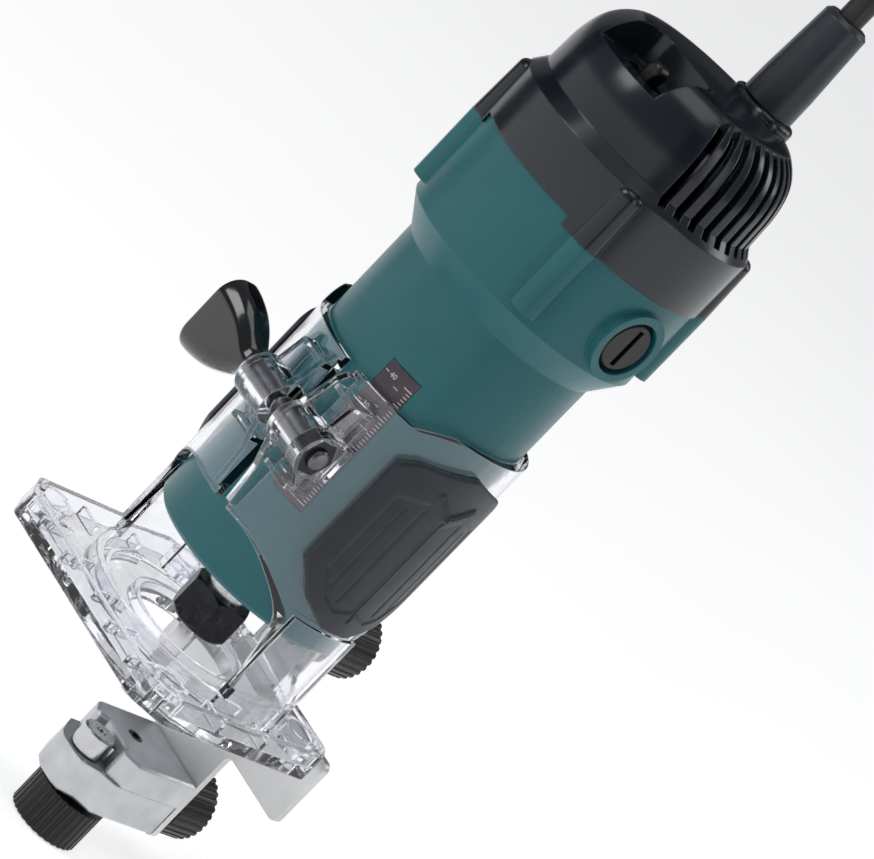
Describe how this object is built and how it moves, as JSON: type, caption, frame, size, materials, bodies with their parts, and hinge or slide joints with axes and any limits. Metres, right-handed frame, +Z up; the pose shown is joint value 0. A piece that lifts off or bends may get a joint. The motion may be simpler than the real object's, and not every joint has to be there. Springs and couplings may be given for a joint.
{
  "type": "trim router",
  "caption": "Hand-held trim router: motor with black cap slides in a clear clamped base with rubber grips; trimmer guide with roller below, mains cord tied in a hank behind.",
  "frame": {"origin": "on the cutter's axis, in the plane of the base's underside", "axes": "+Z up along the motor's axis, -Y towards the clamp at the front, +X to the right"},
  "size_m": [0.1082, 0.1478, 0.3686],
  "materials": {
    "clear_plastic": "clear polycarbonate, polished",
    "grip_rubber": "moulded rubber, satin",
    "steel": "turned steel",
    "brass": "turned brass",
    "black_plastic": "glass-filled nylon, satin gloss",
    "teal_plastic": "glass-filled nylon, satin",
    "scale_plate": "printed plate",
    "dark_steel": "blackened screws",
    "carbon": "pressed carbon",
    "laminations": "stacked electrical steel",
    "copper": "enamelled copper",
    "cord_rubber": "extruded rubber",
    "tie_fabric": "woven hook and loop tape",
    "blackened_steel": "black oxide",
    "sheet_steel": "plated sheet steel",
    "cast_alloy": "die-cast, tumbled"
  },
  "bodies": {
    "base": {"clear_base": "clear_plastic", "grip_pad_right": "grip_rubber", "grip_pad_left": "grip_rubber", "clamp_nut": "steel", "guide_nut": "brass"},
    "wing_screw": {"wing_knob": "black_plastic", "clamp_bolt": "steel", "clamp_washer": "steel"},
    "motor": {"motor_housing": "teal_plastic", "scale_plate": "scale_plate", "top_cap": "black_plastic", "housing_screws": "dark_steel", "brush_caps": "black_plastic", "brush_holders": "brass", "carbon_brushes": "carbon", "brush_springs": "steel", "field_stator": "laminations", "field_coils": "copper", "end_bracket": "black_plastic", "upper_bearing": "steel", "lower_bearing": "steel", "switch_body": "black_plastic", "cord_guard": "cord_rubber", "cord_clamp": "black_plastic", "power_cord": "cord_rubber", "cord_hank": "cord_rubber", "cord_tail": "cord_rubber", "cord_tie": "tie_fabric", "plug_body": "cord_rubber", "plug_blades": "brass"},
    "rotor": {"armature_shaft": "steel", "armature_core": "laminations", "armature_windings": "copper", "commutator": "copper", "cooling_fan": "black_plastic", "collet_cone": "steel", "collet_nut": "blackened_steel", "router_bit": "steel"},
    "toggle": {"switch_toggle": "black_plastic"},
    "guide": {"guide_holder": "sheet_steel", "guide_block": "cast_alloy", "set_screw": "dark_steel"},
    "clamp_a": {"knob_a": "black_plastic", "stud_a": "steel"},
    "adjuster": {"knob_b": "black_plastic", "adjusting_screw": "steel"},
    "clamp_c": {"knob_c": "black_plastic", "stud_c": "steel"},
    "roller_jaw": {"roller_slide": "cast_alloy", "roller_pin": "steel"},
    "roller": {"guide_roller": "steel"}
  },
  "joints": [
    {"name": "depth_slide", "type": "slide", "parent": "base", "child": "motor", "axis": [0, 0, 1], "range_m": [-0.006, 0.025]},
    {"name": "wing_turn", "type": "hinge", "parent": "base", "child": "wing_screw", "pos_m": [0, -0.0386, 0.075], "axis": [-1, 0, 0], "range_deg": [0, 360]},
    {"name": "spindle_spin", "type": "hinge", "parent": "motor", "child": "rotor", "pos_m": [0, 0, 0.1], "axis": [0, 0, -1], "continuous": true},
    {"name": "toggle_tilt", "type": "hinge", "parent": "motor", "child": "toggle", "pos_m": [0, -0.022, 0.1905], "axis": [0, 1, 0], "range_deg": [-20, 0]},
    {"name": "holder_height", "type": "slide", "parent": "base", "child": "guide", "axis": [0, 0, 1], "range_m": [-0.004, 0.004]},
    {"name": "clamp_a_turn", "type": "hinge", "parent": "base", "child": "clamp_a", "pos_m": [0.003, 0.04, 0.023], "axis": [0, 1, 0], "range_deg": [0, 360]},
    {"name": "adjust_turn", "type": "hinge", "parent": "guide", "child": "adjuster", "pos_m": [0.0015, 0.04, -0.042], "axis": [0, 1, 0], "range_deg": [-1, 2881]},
    {"name": "jaw_slide", "type": "slide", "parent": "guide", "child": "roller_jaw", "axis": [0, 1, 0], "range_m": [-0.008, 0]},
    {"name": "clamp_c_turn", "type": "hinge", "parent": "guide", "child": "clamp_c", "pos_m": [0.0014, 0.0104, -0.057], "axis": [0, 0, -1], "range_deg": [0, 360]},
    {"name": "roller_spin", "type": "hinge", "parent": "roller_jaw", "child": "roller", "pos_m": [0.0003, 0.003, -0.035], "axis": [0, 0, 1], "continuous": true}
  ],
  "couplings": [
    {"joint": "adjust_turn", "follows": "jaw_slide", "rad_per_m": -6283.2}
  ]
}
